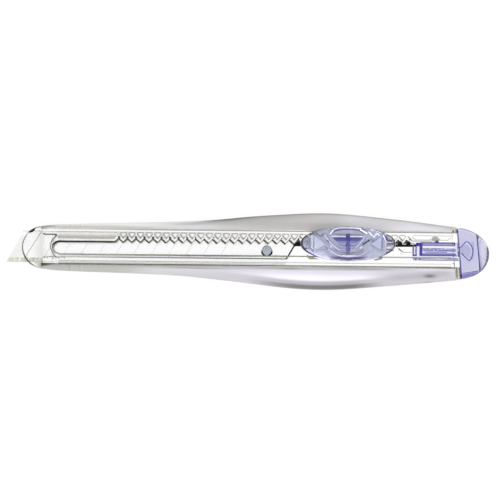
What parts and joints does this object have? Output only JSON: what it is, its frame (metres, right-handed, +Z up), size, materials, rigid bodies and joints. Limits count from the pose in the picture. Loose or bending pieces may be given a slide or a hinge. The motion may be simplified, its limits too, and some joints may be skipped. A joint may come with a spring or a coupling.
{
  "type": "snap-off knife",
  "caption": "Snap-off utility knife: clear sheath with a toothed slot, frosted comfort grip, locking thumb slider that carries a scored blade, and a pull-off rear cap with a snap slot.",
  "frame": {"origin": "middle of the knife's back at rest: centred in plan on the box that holds the knife with the blade's tip out, at the height of the surface it lies on", "axes": "+X along the knife towards the rear cap, +Y across the flat of the blade away from its cutting edge, +Z up from the flat back to the thumb slider"},
  "size_m": [0.1386, 0.022, 0.0108],
  "materials": {
    "clear_plastic": "clear moulded styrene, polished",
    "frosted_grip": "frosted translucent elastomer, fine grain",
    "blade_steel": "bright ground carbon steel, scored",
    "pin_steel": "plain turned steel",
    "clear_carrier": "clear moulded plastic",
    "violet_plastic": "translucent violet-blue plastic, polished",
    "spring_steel": "dark hardened spring steel",
    "violet_cap": "translucent pale violet plastic, polished",
    "violet_latch": "translucent deep violet plastic, polished"
  },
  "bodies": {
    "handle": {"sheath": "clear_plastic", "comfort_grip": "frosted_grip"},
    "slider": {"slider_base": "clear_carrier", "thumb_knob": "violet_plastic", "blade_carriage": "clear_carrier", "blade_pin": "pin_steel", "lock_spring": "spring_steel", "blade": "blade_steel"},
    "cap": {"rear_cap": "violet_cap", "cap_latch": "violet_latch"}
  },
  "joints": [
    {"name": "slider_slide", "type": "slide", "parent": "handle", "child": "slider", "axis": [1, 0, 0], "range_m": [-0.0488, 0.00976]},
    {"name": "cap_pull", "type": "slide", "parent": "handle", "child": "cap", "axis": [1, 0, 0], "range_m": [0, 0.016]}
  ]
}
